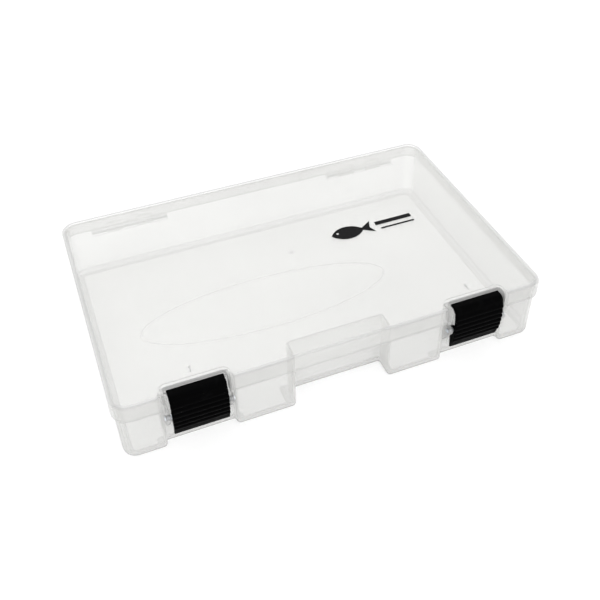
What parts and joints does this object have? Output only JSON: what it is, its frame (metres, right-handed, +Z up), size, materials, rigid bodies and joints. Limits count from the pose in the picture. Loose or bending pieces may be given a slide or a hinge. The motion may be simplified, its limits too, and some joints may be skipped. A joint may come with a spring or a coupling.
{
  "type": "fishing tackle box",
  "caption": "Shallow clear tackle tray with a flat rear-hinged lid, a front grip recess and rocking latches that hook over the lid's front edge.",
  "frame": {"origin": "centre of the whole box's footprint, on the surface that the tray stands on", "axes": "+X to the right along the width, +Y from the latches at the front to the hinges at the back, +Z up"},
  "size_m": [0.28, 0.1891, 0.0459],
  "materials": {
    "clear_tray": "milky translucent polypropylene, satin moulded surface",
    "clear_lid": "milky translucent polypropylene, smooth moulded surface",
    "latch_black": "black moulded plastic with ridges, fine satin grain",
    "pin_steel": "drawn stainless steel rod"
  },
  "bodies": {
    "base": {"base_tray": "clear_tray", "latch_pin_left": "pin_steel", "latch_pin_right": "pin_steel", "hinge_pin_left": "pin_steel", "hinge_pin_right": "pin_steel"},
    "lid": {"lid": "clear_lid"},
    "latch_left": {"latch_left": "latch_black"},
    "latch_right": {"latch_right": "latch_black"}
  },
  "joints": [
    {"name": "lid_hinge", "type": "hinge", "parent": "base", "child": "lid", "pos_m": [0, 0.0924, 0.0305], "axis": [-1, 0, 0], "range_deg": [0, 180]},
    {"name": "latch_left_pivot", "type": "hinge", "parent": "base", "child": "latch_left", "pos_m": [-0.091, -0.0902, 0.028], "axis": [1, 0, 0], "range_deg": [0, 12]},
    {"name": "latch_right_pivot", "type": "hinge", "parent": "base", "child": "latch_right", "pos_m": [0.091, -0.0902, 0.028], "axis": [1, 0, 0], "range_deg": [0, 12]}
  ]
}
